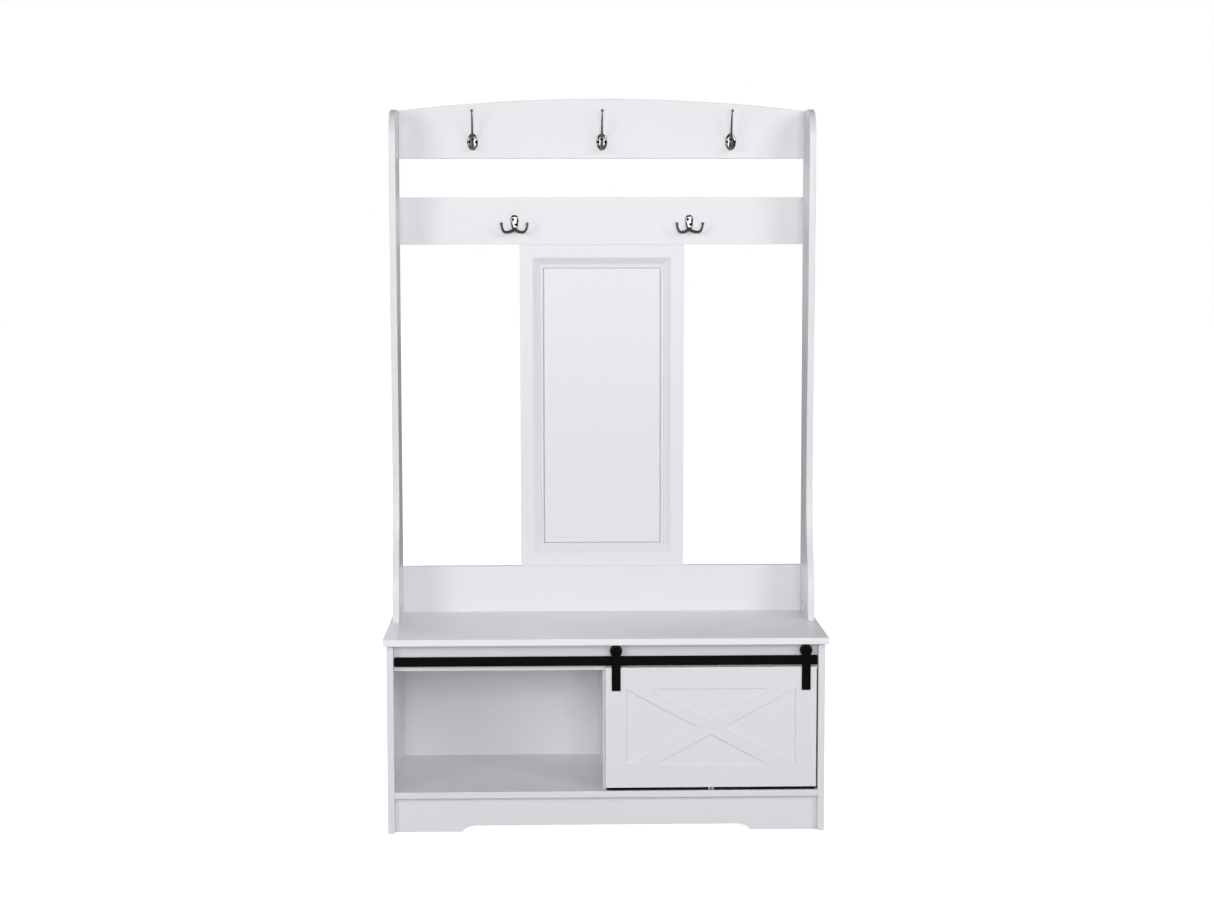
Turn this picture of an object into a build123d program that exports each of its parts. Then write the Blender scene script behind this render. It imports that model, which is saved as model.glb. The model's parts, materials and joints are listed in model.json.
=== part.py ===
from build123d import *
import math
import os

# Hall tree: a bench cabinet with a sliding barn door, and a tall open back with hooks.
# Millimetres. +X is to the right seen from the front, the front faces -Y, +Z is up.
# The origin is on the floor, in the middle of the whole footprint.

os.makedirs("parts", exist_ok=True)

# ---- Driving sizes: the whole ----
overall_width = 1000.0
overall_depth = 390.0
bench_height = 446.0
back_height = 1191.0  # from the bench top up to the ends of the crest rail
arch_rise = 28.0  # the crest rail's middle above its ends
board = 15.0
seam_relief = 0.1  # radial room round pins and screws in their holes

# ---- Cabinet ----
top_front_overhang = 16.0
top_side_overhang = 7.0
shelf_height = 80.0  # floor to the underside of the bottom shelf
header_height = 62.0
header_setback = 19.5  # from the cabinet's front edges
skirt_setback = 14.0
skirt_cut_height = 14.5
skirt_cut_flat = 586.0
skirt_cut_span = 654.0
ogee_pull = 0.55  # how far the cut-out's curves lean, as shares of their run and rise
ogee_drop = 0.8
rear_rail_height = 60.0
back_thick = 3.0
back_inset = 5.0  # from the rear edges to the back panel's rear face
groove_depth = 5.0
groove_room = 0.1  # on each side of the back panel in its groove
back_floor_gap = 22.0
back_top_gap = 1.0

# ---- Tall back ----
rail_height = 111.0
hook_rail_height_up = 878.0  # bench top to the underside of the hook rail
centre_width = 389.0
panel_margin = 31.0
panel_slope = 16.0
panel_sink = 8.0
bead_quirk = 2.5  # the narrow channel on each side of the bead
bead_width = 5.0
bead_drop = 3.0  # from the centre panel's face down to the bead
side_depth_top = 132.0
side_depth_waist = 112.0
side_depth_foot = 165.0
side_corner_radius = 60.0
waist_height = 334.0  # above the bench top
foot_straight = 26.0
# How far each end of the front edge's two curves runs on straight, as a share of that curve's height.
top_lead, waist_lead_up = 0.41, 0.28
waist_lead_down, foot_lead = 0.62, 0.42

# ---- Barn door and its running gear ----
door_side_gap = 3.5
door_past_centre = 2.0
door_thick = 15.0
door_floor_gap = 7.0
door_rail_gap = 4.0
door_stile = 47.0
door_rail = 49.5
door_recess = 3.5
brace_run = 59.0  # width of a brace where it meets the frame
strap_width = 20.0
strap_thick = 2.5
strap_drop = 53.0  # below the door's top edge
strap_inset = 24.0  # strap centre from the door's edge
strap_to_wheel = 1.0
strap_screw_low = 10.0
strap_screw_pitch = 31.0
track_height = 21.5
track_thick = 5.0
track_end_gap = 1.5
track_corner = 3.0
track_hang = 28.5  # bench top's underside down to the track's top edge
tread_radius = 11.0
tread_gap = 0.3
flange_radius = 14.0
roller_width = 9.0
roller_groove = 5.8
groove_overcut = 1.0  # how far the groove's cutter passes the flange
axle_radius = 3.0
axle_clearance = 0.06
axle_head_radius = 5.5
axle_head_thick = 2.5
nut_across = 10.0
nut_thick = 4.0
nut_gap = 0.5
spacer_radius = 7.0
track_bolt_radius = 2.5
track_bolt_head = 5.0
track_bolt_grip = 12.0
track_bolt_share = (-0.88, -0.3, 0.3, 0.88)  # places along the bar, as shares of its half length
glide_leg = 4.2
glide_gap = 3.6
glide_depth = 9.0
glide_height = 5.5
glide_web = 1.5

# ---- Knock-down fittings ----
cam_radius = 7.4
cam_thick = 12.3
cam_setback = 24.0
cam_bolt_thread = 2.5
cam_bolt_bite = 11.0
cam_bolt_shank = 3.0
cam_bolt_reach = 21.0
cam_bolt_hole = 4.0
cam_bolt_head = 3.6
dowel_radius = 4.0
dowel_face_bite = 10.0
dowel_edge_bite = 20.0
nail_radius = 0.8
nail_length = 20.0
nail_head_radius = 2.5
nail_head_thick = 0.8
nail_room = 0.05
long_screw_radius = 2.5
long_screw_head = 4.5
long_screw_length = 50.0
countersink_angle = 90.0

# ---- Where the fittings sit ----
case_cam_front, case_cam_rear = 49.0, 55.0  # from the cabinet side's front and rear edges
case_dowel_front, case_dowel_rear = 11.0, 30.0
shelf_dowel_spread = 90.0  # to the front and rear of the middle
post_cams, post_dowels = (115.0, 45.0), (80.0, 20.0)  # from the rear edge
header_cam_up, header_dowel_up = 40.0, 16.0
skirt_cam_up, skirt_dowel_up = 55.0, 30.0
rear_cam_down, rear_dowel_down = 25.0, 45.0  # below the shelf
rail_dowel_spread = 35.0  # above and below a rail's middle
panel_cam_inset, panel_dowel_inset = 60.0, 25.0  # from the centre panel's edges
skirt_dowel_out, apron_dowel_out = 250.0, 300.0  # from the middle
divider_cams, divider_dowels = (35.0, 60.0), (70.0, 25.0)  # behind the header, before the back panel
divider_screws_y = (-100.0, 120.0)
nail_spread = (-350.0, -120.0, 120.0, 350.0)
nail_heights = (180.0, 290.0)

# ---- Hooks ----
coat_hook_pitch = 304.0
coat_plate_width = 25.0
coat_plate_height = 40.0
coat_plate_thick = 3.5
coat_hook_drop = 17.0  # plate centre below the middle of the rail's end height
coat_screw_pitch = 17.0
coat_prong_root = 2.0  # how far behind the plate's face a prong starts
coat_prong_bend = 9.0
# Radius, ball radius, and route as (out of the wall, up) from the plate's centre.
coat_upper_prong = (2.3, 3.4, ((0, 6), (-16, 10), (-35, 56), (-52, 70)))
coat_lower_prong = (3.0, 3.8, ((0, -7), (-16, -16), (-26, -14), (-31, -2)))
double_hook_pitch = 413.0
double_plate_top = 22.0
double_plate_foot = 13.0
double_plate_height = 40.0
double_plate_thick = 4.0
double_plate_shoulder = 8.0  # below the top, where the round head starts
double_plate_corner = 3.0
double_hook_drop = 6.0
double_prong_root = 1.2  # how far inside the plate's face a prong starts
double_prong_radius = 3.5
double_prong_swing = 42.0  # degrees forward from sideways
double_prong_low = 13.0  # below the plate's centre
double_prong_bend = 8.0
double_prong_route = ((0, 0), (12, -6), (33, -6), (41, 12))  # (sideways, up)
double_ball_radius = 3.8
double_screws = ((-3.5, 9.5), (3.0, -2.5))  # from the plate's centre
hook_screw_radius = 1.7
hook_screw_head = 3.3
hook_screw_dome = 1.6
hook_screw_bite = 11.0

# ---- Places worked out from those sizes ----
x_out = overall_width / 2 - top_side_overhang
x_in = x_out - board
y_top_front = -overall_depth / 2
y_rear = overall_depth / 2
y_case = y_top_front + top_front_overhang
z_under = bench_height - board
z_shelf = shelf_height + board
y_back_rear = y_rear - back_inset
y_back_front = y_back_rear - back_thick
y_header = y_case + header_setback
y_header_rear = y_header + board
z_header = z_under - header_height
y_skirt = y_case + skirt_setback
y_rail = y_rear - board
z_hook_rail = bench_height + hook_rail_height_up
z_ends = bench_height + back_height
z_crest = z_ends - rail_height
z_apron = bench_height + rail_height
half_centre = centre_width / 2
y_rear_rail = y_back_front - board / 2  # its middle
z_track_top = z_under - track_hang
z_track_low = z_track_top - track_height
z_track_middle = z_track_low + track_height / 2
y_door = y_case + strap_thick
y_door_rear = y_door + door_thick
y_track_middle = y_door + strap_to_wheel + roller_width / 2
z_axle = z_track_top + tread_radius + tread_gap
door_left = -door_past_centre
door_right = x_in - door_side_gap
door_width = door_right - door_left
z_door = z_shelf + door_floor_gap
z_door_top = z_track_low - door_rail_gap
door_height = z_door_top - z_door
strap_x = (door_left + strap_inset, door_right - strap_inset)
z_strap = z_door_top - strap_drop
z_coat = z_crest + rail_height / 2 - coat_hook_drop
z_double = z_hook_rail + rail_height / 2 - double_hook_drop
coat_x = (-coat_hook_pitch, 0.0, coat_hook_pitch)
double_x = (-double_hook_pitch / 2, double_hook_pitch / 2)

LEFT, RIGHT = (-1, 0, 0), (1, 0, 0)
FRONT, BACK = (0, -1, 0), (0, 1, 0)
DOWN, UP = (0, 0, -1), (0, 0, 1)
FROM_START = (Align.CENTER, Align.CENTER, Align.MIN)


def slab(x, y, z):
    """Adds a plain board to the current piece, from its low and high limits on each axis."""
    with Locations(((x[0] + x[1]) / 2, (y[0] + y[1]) / 2, (z[0] + z[1]) / 2)):
        Box(x[1] - x[0], y[1] - y[0], z[1] - z[0])


def rod(point, direction, radius, length, mode=Mode.ADD):
    """Adds (or drills) a round bar that starts at a point and runs along a direction."""
    with Locations(Plane(origin=point, z_dir=direction)):
        Cylinder(radius, length, align=FROM_START, mode=mode)


def drill(point, direction, radius, depth):
    rod(point, direction, radius, depth, Mode.SUBTRACT)


def along(point, direction, distance):
    return tuple(p + distance * d for p, d in zip(point, direction))


def opposite(direction):
    return tuple(-d for d in direction)


def finish(piece, name):
    piece.part.label = name
    export_step(piece.part, f"parts/{name}.step")


# ---- Where the boards are joined ----
# Each cam joint: board that takes the bolt, board that takes the cam, point on the seam,
# direction from the seam into the cam's board, direction in which the cam is pressed.
# Each dowel: board whose face is drilled, board whose edge is drilled, point, direction into the edge.
cam_joints = []
dowels = []


def pair(face_board, edge_board, x, y, z, direction):
    dowels.append((face_board, edge_board, (x, y, z), direction))


for side, s in (("left", -1), ("right", 1)):
    inward, outward = (-s, 0, 0), (s, 0, 0)
    x_mid = s * (x_out - board / 2)
    case, post = f"cabinet_side_{side}", f"upper_side_{side}"
    for y in (y_case + case_cam_front, y_rear - case_cam_rear):
        cam_joints.append(("bench_top", case, (x_mid, y, z_under), DOWN, outward))
        cam_joints.append((case, "bottom_shelf", (s * x_in, y, shelf_height + board / 2), inward, UP))
    for from_rear in post_cams:
        cam_joints.append(("bench_top", post, (x_mid, y_rear - from_rear, bench_height), UP, outward))
    for y in (y_case + case_dowel_front, y_rear - case_dowel_rear):
        pair("bench_top", case, x_mid, y, z_under, DOWN)
    for from_rear in post_dowels:
        pair("bench_top", post, x_mid, y_rear - from_rear, bench_height, UP)
    for y in (-shelf_dowel_spread, shelf_dowel_spread):
        pair(case, "bottom_shelf", s * x_in, y, shelf_height + board / 2, inward)
    cross_boards = (
        ("header", y_header + board / 2, z_header + header_cam_up, z_header + header_dowel_up, FRONT),
        ("skirt_board", y_skirt + board / 2, skirt_cam_up, skirt_dowel_up, FRONT),
        ("rear_rail", y_rear_rail, shelf_height - rear_cam_down, shelf_height - rear_dowel_down, BACK),
    )
    for name, y, z_cam, z_dowel, press in cross_boards:
        cam_joints.append((case, name, (s * x_in, y, z_cam), inward, press))
        pair(case, name, s * x_in, y, z_dowel, inward)
    for name, z in (("apron_rail", bench_height), ("hook_rail", z_hook_rail), ("crest_rail", z_crest)):
        z_mid = z + rail_height / 2
        cam_joints.append((post, name, (s * x_in, y_rail + board / 2, z_mid), inward, FRONT))
        for dz in (-rail_dowel_spread, rail_dowel_spread):
            pair(post, name, s * x_in, y_rail + board / 2, z_mid + dz, inward)
    x_panel = s * (half_centre - panel_cam_inset)
    x_peg = s * (half_centre - panel_dowel_inset)
    for name, z, way in (("apron_rail", z_apron, UP), ("hook_rail", z_hook_rail, DOWN)):
        cam_joints.append((name, "centre_panel", (x_panel, y_rail + board / 2, z), way, FRONT))
        pair(name, "centre_panel", x_peg, y_rail + board / 2, z, way)
    pair("bottom_shelf", "skirt_board", s * skirt_dowel_out, y_skirt + board / 2, shelf_height, DOWN)
    pair("bench_top", "apron_rail", s * apron_dowel_out, y_rail + board / 2, bench_height, UP)
for y in (y_header_rear + divider_cams[0], y_back_front - divider_cams[1]):
    cam_joints.append(("bench_top", "divider", (0, y, z_under), DOWN, LEFT))
for y in (y_header_rear + divider_dowels[0], y_back_front - divider_dowels[1]):
    pair("bench_top", "divider", 0, y, z_under, DOWN)

track_bolts_x = [x_in * share for share in track_bolt_share]
nails = [(x, shelf_height + board / 2) for x in nail_spread]
nails += [(0, z) for z in nail_heights]


def drill_joints(name):
    """Cuts every fitting's hole that belongs to one board."""
    for bolt_board, cam_board, point, way, press in cam_joints:
        if name == bolt_board:
            drill(point, opposite(way), cam_bolt_thread + seam_relief, cam_bolt_bite)
        if name == cam_board:
            drill(point, way, cam_bolt_hole, cam_setback)
            face = along(along(point, way, cam_setback), opposite(press), board / 2)
            drill(face, press, cam_radius + seam_relief, cam_thick)
    for face_board, edge_board, point, way in dowels:
        if name == face_board:
            drill(point, opposite(way), dowel_radius + seam_relief, dowel_face_bite)
        if name == edge_board:
            drill(point, way, dowel_radius + seam_relief, dowel_edge_bite)


def nail_pilots(z_low, z_high):
    """Cuts the holes of the back panel's nails into the rear edge of the board between two heights."""
    for x, z in nails:
        if z_low < z < z_high:
            drill((x, y_back_front, z), FRONT, nail_radius + nail_room, nail_length - back_thick)


# ---- Bench top ----
with BuildPart() as bench_top:
    slab((-overall_width / 2, overall_width / 2), (y_top_front, y_rear), (z_under, bench_height))
    drill_joints("bench_top")
finish(bench_top, "bench_top")

# ---- Cabinet sides, each with a groove for the back panel ----
for side, s in (("left", -1), ("right", 1)):
    with BuildPart() as cabinet_side:
        slab(sorted((s * x_in, s * x_out)), (y_case, y_rear), (0, z_under))
        with Locations((s * (x_in + groove_depth / 2), y_back_front + back_thick / 2, z_under / 2)):
            Box(groove_depth, back_thick + 2 * groove_room, z_under, mode=Mode.SUBTRACT)
        drill_joints(f"cabinet_side_{side}")
    finish(cabinet_side, f"cabinet_side_{side}")

# ---- Divider, notched round the header ----
with BuildPart() as divider:
    slab((-board / 2, board / 2), (y_header, y_back_front), (z_shelf, z_under))
    with Locations((0, y_header + board / 2, z_header + header_height / 2)):
        Box(board, board, header_height, mode=Mode.SUBTRACT)
    drill_joints("divider")
    for y in divider_screws_y:
        drill((0, y, z_shelf), UP, long_screw_radius + seam_relief, long_screw_length - board)
    nail_pilots(z_shelf, z_under)
finish(divider, "divider")

# ---- Bottom shelf ----
with BuildPart() as bottom_shelf:
    slab((-x_in, x_in), (y_case, y_back_front), (shelf_height, z_shelf))
    drill_joints("bottom_shelf")
    for y in divider_screws_y:
        with Locations(Plane(origin=(0, y, shelf_height), z_dir=DOWN)):
            CounterSinkHole(
                long_screw_radius + seam_relief,
                long_screw_head + seam_relief,
                board,
                countersink_angle,
            )
    nail_pilots(shelf_height, z_shelf)
finish(bottom_shelf, "bottom_shelf")

# ---- Header under the bench top, which carries the track ----
with BuildPart() as header:
    slab((-x_in, x_in), (y_header, y_header_rear), (z_header, z_under))
    drill_joints("header")
    for x in track_bolts_x:
        drill((x, y_header, z_track_middle), BACK, track_bolt_radius + seam_relief, track_bolt_grip)
finish(header, "header")

# ---- Skirt board with its shallow cut-out at the floor ----
with BuildPart() as skirt_board:
    slab((-x_in, x_in), (y_skirt, y_skirt + board), (0, shelf_height))
    half_flat, half_span = skirt_cut_flat / 2, skirt_cut_span / 2
    ogee = half_span - half_flat
    lean, dip, halfway = ogee_pull * ogee, ogee_drop * ogee, ogee_pull * skirt_cut_height
    with BuildSketch(Plane.XZ.offset(-y_skirt - board)):
        with BuildLine():
            Line((-half_flat, skirt_cut_height), (half_flat, skirt_cut_height))
            Bezier(
                (half_flat, skirt_cut_height),
                (half_flat + lean, skirt_cut_height),
                (half_flat + dip, halfway),
                (half_span, 0),
            )
            Line((half_span, 0), (-half_span, 0))
            Bezier(
                (-half_span, 0),
                (-half_flat - dip, halfway),
                (-half_flat - lean, skirt_cut_height),
                (-half_flat, skirt_cut_height),
            )
        make_face()
    extrude(amount=board, mode=Mode.SUBTRACT)
    drill_joints("skirt_board")
finish(skirt_board, "skirt_board")

# ---- Rear rail under the shelf ----
with BuildPart() as rear_rail:
    slab((-x_in, x_in), (y_back_front - board, y_back_front), (shelf_height - rear_rail_height, shelf_height))
    drill_joints("rear_rail")
finish(rear_rail, "rear_rail")

# ---- Thin back panel, slid into the grooves ----
with BuildPart() as cabinet_back:
    reach = x_in + groove_depth
    slab((-reach, reach), (y_back_front, y_back_rear), (back_floor_gap, z_under - back_top_gap))
    for x, z in nails:
        drill((x, y_back_rear, z), FRONT, nail_radius + nail_room, back_thick)
finish(cabinet_back, "cabinet_back")

# ---- Upper sides: rounded at the top, narrow at the waist, flared at the foot ----
for side, s in (("left", -1), ("right", 1)):
    with BuildPart() as upper_side:
        with BuildSketch(Plane.YZ.offset(min(s * x_in, s * x_out))):
            z_round = z_ends - side_corner_radius
            y_top = y_rear - side_depth_top
            y_waist = y_rear - side_depth_waist
            y_foot = y_rear - side_depth_foot
            z_waist = bench_height + waist_height
            z_foot = bench_height + foot_straight
            with BuildLine():
                Line((y_rear, bench_height), (y_rear, z_ends))
                Line((y_rear, z_ends), (y_top + side_corner_radius, z_ends))
                CenterArc((y_top + side_corner_radius, z_round), side_corner_radius, 90, 90)
                rise = z_round - z_waist
                Bezier(
                    (y_top, z_round),
                    (y_top, z_round - top_lead * rise),
                    (y_waist, z_waist + waist_lead_up * rise),
                    (y_waist, z_waist),
                )
                drop = z_waist - z_foot
                Bezier(
                    (y_waist, z_waist),
                    (y_waist, z_waist - waist_lead_down * drop),
                    (y_foot, z_foot + foot_lead * drop),
                    (y_foot, z_foot),
                )
                Line((y_foot, z_foot), (y_foot, bench_height))
                Line((y_foot, bench_height), (y_rear, bench_height))
            make_face()
        extrude(amount=board)
        drill_joints(f"upper_side_{side}")
    finish(upper_side, f"upper_side_{side}")

# ---- Apron rail on the bench, and the hook rail ----
with BuildPart() as apron_rail:
    slab((-x_in, x_in), (y_rail, y_rear), (bench_height, z_apron))
    drill_joints("apron_rail")
finish(apron_rail, "apron_rail")

with BuildPart() as hook_rail:
    slab((-x_in, x_in), (y_rail, y_rear), (z_hook_rail, z_hook_rail + rail_height))
    drill_joints("hook_rail")
    for x in double_x:
        for dx, dz in double_screws:
            drill((x + dx, y_rail, z_double + dz), BACK, hook_screw_radius + seam_relief, hook_screw_bite)
finish(hook_rail, "hook_rail")

# ---- Crest rail with its arched top ----
with BuildPart() as crest_rail:
    with BuildSketch(Plane.XZ.offset(-y_rear)):
        with BuildLine():
            Polyline((-x_in, z_ends), (-x_in, z_crest), (x_in, z_crest), (x_in, z_ends))
            ThreePointArc((x_in, z_ends), (0, z_ends + arch_rise), (-x_in, z_ends))
        make_face()
    extrude(amount=board)
    drill_joints("crest_rail")
    for x in coat_x:
        for dx in (-coat_screw_pitch / 2, coat_screw_pitch / 2):
            drill((x + dx, y_rail, z_coat), BACK, hook_screw_radius + seam_relief, hook_screw_bite)
finish(crest_rail, "crest_rail")

# ---- Centre panel: a raised field and a bead inside a sloped border ----
with BuildPart() as centre_panel:
    slab((-half_centre, half_centre), (y_rail, y_rear), (z_apron, z_hook_rail))
    panel_height = z_hook_rail - z_apron
    panel_face = Plane(origin=(0, y_rail, z_apron + panel_height / 2), x_dir=RIGHT, z_dir=BACK)
    with BuildSketch(panel_face):
        Rectangle(centre_width - 2 * panel_margin, panel_height - 2 * panel_margin)
    with BuildSketch(panel_face.offset(panel_sink)):
        slope_foot = panel_margin + panel_slope
        Rectangle(centre_width - 2 * slope_foot, panel_height - 2 * slope_foot)
    loft(mode=Mode.SUBTRACT)
    bead_outside = slope_foot + bead_quirk
    bead_inside = bead_outside + bead_width
    with BuildSketch(panel_face.offset(panel_sink)):
        Rectangle(centre_width - 2 * bead_outside, panel_height - 2 * bead_outside)
        Rectangle(centre_width - 2 * bead_inside, panel_height - 2 * bead_inside, mode=Mode.SUBTRACT)
    extrude(amount=bead_drop - panel_sink)
    with BuildSketch(panel_face.offset(panel_sink)):
        field_edge = bead_inside + bead_quirk
        Rectangle(centre_width - 2 * field_edge, panel_height - 2 * field_edge)
    extrude(amount=-panel_sink)
    drill_joints("centre_panel")
finish(centre_panel, "centre_panel")

# ---- Knock-down fittings, each kind as one group of separate pieces ----
with BuildPart() as cams:
    for bolt_board, cam_board, point, way, press in cam_joints:
        centre = along(point, way, cam_setback)
        face = along(centre, opposite(press), board / 2)
        rod(face, press, cam_radius, cam_thick)
        drill(point, way, cam_bolt_hole, cam_setback)
finish(cams, "cam_locks")

with BuildPart() as cam_bolts:
    for bolt_board, cam_board, point, way, press in cam_joints:
        rod(along(point, way, -cam_bolt_bite), way, cam_bolt_thread, cam_bolt_bite)
        rod(point, way, cam_bolt_shank, cam_bolt_reach)
        rod(along(point, way, cam_bolt_reach), way, cam_bolt_head, cam_setback - cam_bolt_reach)
finish(cam_bolts, "cam_bolts")

with BuildPart() as wood_dowels:
    for face_board, edge_board, point, way in dowels:
        rod(along(point, way, -dowel_face_bite), way, dowel_radius, dowel_face_bite + dowel_edge_bite)
finish(wood_dowels, "wood_dowels")

with BuildPart() as divider_screws:
    for y in divider_screws_y:
        rod((0, y, shelf_height), UP, long_screw_radius, long_screw_length)
        with Locations(Plane(origin=(0, y, shelf_height), z_dir=UP)):
            Cone(long_screw_head, long_screw_radius, long_screw_head - long_screw_radius, align=FROM_START)
finish(divider_screws, "divider_screws")

with BuildPart() as panel_nails:
    for x, z in nails:
        rod((x, y_back_rear, z), FRONT, nail_radius, nail_length)
        rod((x, y_back_rear, z), BACK, nail_head_radius, nail_head_thick)
finish(panel_nails, "panel_nails")

# ---- Track: a flat bar held off the header by spacers ----
y_track_front = y_track_middle - track_thick / 2
y_track_rear = y_track_middle + track_thick / 2
track_half = x_in - track_end_gap
with BuildPart() as door_track:
    slab((-track_half, track_half), (y_track_front, y_track_rear), (z_track_low, z_track_top))
    fillet(door_track.edges().filter_by(Axis.Y), track_corner)
    with Locations(*[Plane(origin=(x, y_track_front, z_track_middle), z_dir=FRONT) for x in track_bolts_x]):
        CounterSinkHole(
            track_bolt_radius + seam_relief,
            track_bolt_head + seam_relief,
            track_thick,
            countersink_angle,
        )
finish(door_track, "door_track")

with BuildPart() as track_spacers:
    spacer_length = y_header - y_track_rear
    for x in track_bolts_x:
        rod((x, y_track_rear, z_track_middle), BACK, spacer_radius, spacer_length)
        drill((x, y_track_rear, z_track_middle), BACK, track_bolt_radius + seam_relief, spacer_length)
finish(track_spacers, "track_spacers")

with BuildPart() as track_bolts:
    for x in track_bolts_x:
        point = (x, y_track_front, z_track_middle)
        rod(point, BACK, track_bolt_radius, y_header - y_track_front + track_bolt_grip)
        with Locations(Plane(origin=point, z_dir=BACK)):
            Cone(track_bolt_head, track_bolt_radius, track_bolt_head - track_bolt_radius, align=FROM_START)
finish(track_bolts, "track_bolts")

# ---- Barn door: a flush frame and cross round four sunk triangles ----
with BuildPart() as door_panel:
    slab((door_left, door_right), (y_door, y_door_rear), (z_door, z_door_top))
    sunk_width = door_width - 2 * door_stile
    sunk_height = door_height - 2 * door_rail
    sunk_centre = ((door_left + door_right) / 2, y_door, (z_door + z_door_top) / 2)
    with BuildSketch(Plane(origin=sunk_centre, x_dir=RIGHT, z_dir=FRONT)):
        Rectangle(sunk_width, sunk_height)
        for s in (-1, 1):
            half_w, half_h = sunk_width / 2, sunk_height / 2
            with BuildLine():
                Polyline(
                    (-s * half_w, half_h),
                    (-s * (half_w - brace_run), half_h),
                    (s * half_w, -half_h),
                    (s * (half_w - brace_run), -half_h),
                    close=True,
                )
            make_face(mode=Mode.SUBTRACT)
    extrude(amount=-door_recess, mode=Mode.SUBTRACT)
    for x in strap_x:
        for z in (z_strap + strap_screw_low, z_strap + strap_screw_low + strap_screw_pitch):
            drill((x, y_door, z), BACK, hook_screw_radius + seam_relief, hook_screw_bite)
finish(door_panel, "door_panel")

# ---- Door glide: a small two-legged plastic foot under the middle of the door ----
with BuildPart() as door_glide:
    glide_half = glide_leg + glide_gap / 2
    x_glide = (door_left + door_right) / 2
    y_glide = (y_door + y_door_rear) / 2
    glide_y = (y_glide - glide_depth / 2, y_glide + glide_depth / 2)
    slab((x_glide - glide_half, x_glide + glide_half), glide_y, (z_door - glide_web, z_door))
    for s in (-1, 1):
        x_leg = x_glide + s * (glide_gap / 2 + glide_leg / 2)
        leg_z = (z_door - glide_height, z_door - glide_web)
        slab((x_leg - glide_leg / 2, x_leg + glide_leg / 2), glide_y, leg_z)
finish(door_glide, "door_glide")

# ---- Straps, rollers and axles ----
for side, x in zip(("left", "right"), strap_x):
    with BuildPart() as strap:
        slab((x - strap_width / 2, x + strap_width / 2), (y_case, y_door), (z_strap, z_axle))
        rod((x, y_case, z_axle), BACK, strap_width / 2, strap_thick)
        drill((x, y_case, z_axle), BACK, axle_radius + seam_relief, strap_thick)
        for z in (z_strap + strap_screw_low, z_strap + strap_screw_low + strap_screw_pitch):
            drill((x, y_case, z), BACK, hook_screw_radius + seam_relief, strap_thick)
    finish(strap, f"hanger_strap_{side}")

    with BuildPart() as roller:
        y_roller = y_track_middle - roller_width / 2
        rod((x, y_roller, z_axle), BACK, flange_radius, roller_width)
        with BuildSketch(Plane(origin=(x, y_track_middle - roller_groove / 2, z_axle), z_dir=BACK)):
            Circle(flange_radius + groove_overcut)
            Circle(tread_radius, mode=Mode.SUBTRACT)
        extrude(amount=roller_groove, mode=Mode.SUBTRACT)
        drill((x, y_roller, z_axle), BACK, axle_radius + axle_clearance, roller_width)
    finish(roller, f"roller_{side}")

    with BuildPart() as axle_bolt:
        y_nut = y_roller + roller_width + nut_gap
        rod((x, y_case, z_axle), FRONT, axle_head_radius, axle_head_thick)
        rod((x, y_case, z_axle), BACK, axle_radius, y_nut + nut_thick - y_case)
    finish(axle_bolt, f"axle_bolt_{side}")

    with BuildPart() as axle_nut:
        with BuildSketch(Plane(origin=(x, y_nut, z_axle), z_dir=BACK)):
            RegularPolygon(nut_across / 2, 6, major_radius=False)
            Circle(axle_radius, mode=Mode.SUBTRACT)
        extrude(amount=nut_thick)
    finish(axle_nut, f"axle_nut_{side}")


def dome_screw(point, bite):
    """Adds a dome-headed wood screw whose head sits at a point on a front face."""
    rod(point, BACK, hook_screw_radius, bite)
    rod(point, FRONT, hook_screw_head, hook_screw_dome)


with BuildPart() as strap_screws:
    for x in strap_x:
        for z in (z_strap + strap_screw_low, z_strap + strap_screw_low + strap_screw_pitch):
            dome_screw((x, y_case, z), strap_thick + hook_screw_bite)
finish(strap_screws, "strap_screws")

# ---- Coat hooks: an oval plate, a long upper prong and a short lower one ----
y_coat = y_rail - coat_plate_thick
for name, x in zip(("left", "centre", "right"), coat_x):
    with BuildPart() as coat_hook:
        with BuildSketch(Plane(origin=(x, y_rail, z_coat), x_dir=RIGHT, z_dir=FRONT)):
            Ellipse(coat_plate_width / 2, coat_plate_height / 2)
        extrude(amount=coat_plate_thick)
        for dx in (-coat_screw_pitch / 2, coat_screw_pitch / 2):
            drill((x + dx, y_coat, z_coat), BACK, hook_screw_radius + seam_relief, coat_plate_thick)
        for radius, ball, route in (coat_upper_prong, coat_lower_prong):
            points = [(y_coat + coat_prong_root + y, z_coat + z) for y, z in route]
            with BuildLine(Plane.YZ.offset(x)) as path:
                FilletPolyline(*points, radius=coat_prong_bend)
            with BuildSketch(path.line ^ 0):
                Circle(radius)
            sweep(path=path.line)
            with Locations((x, *points[-1])):
                Sphere(ball)
    finish(coat_hook, f"coat_hook_{name}")

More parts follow.
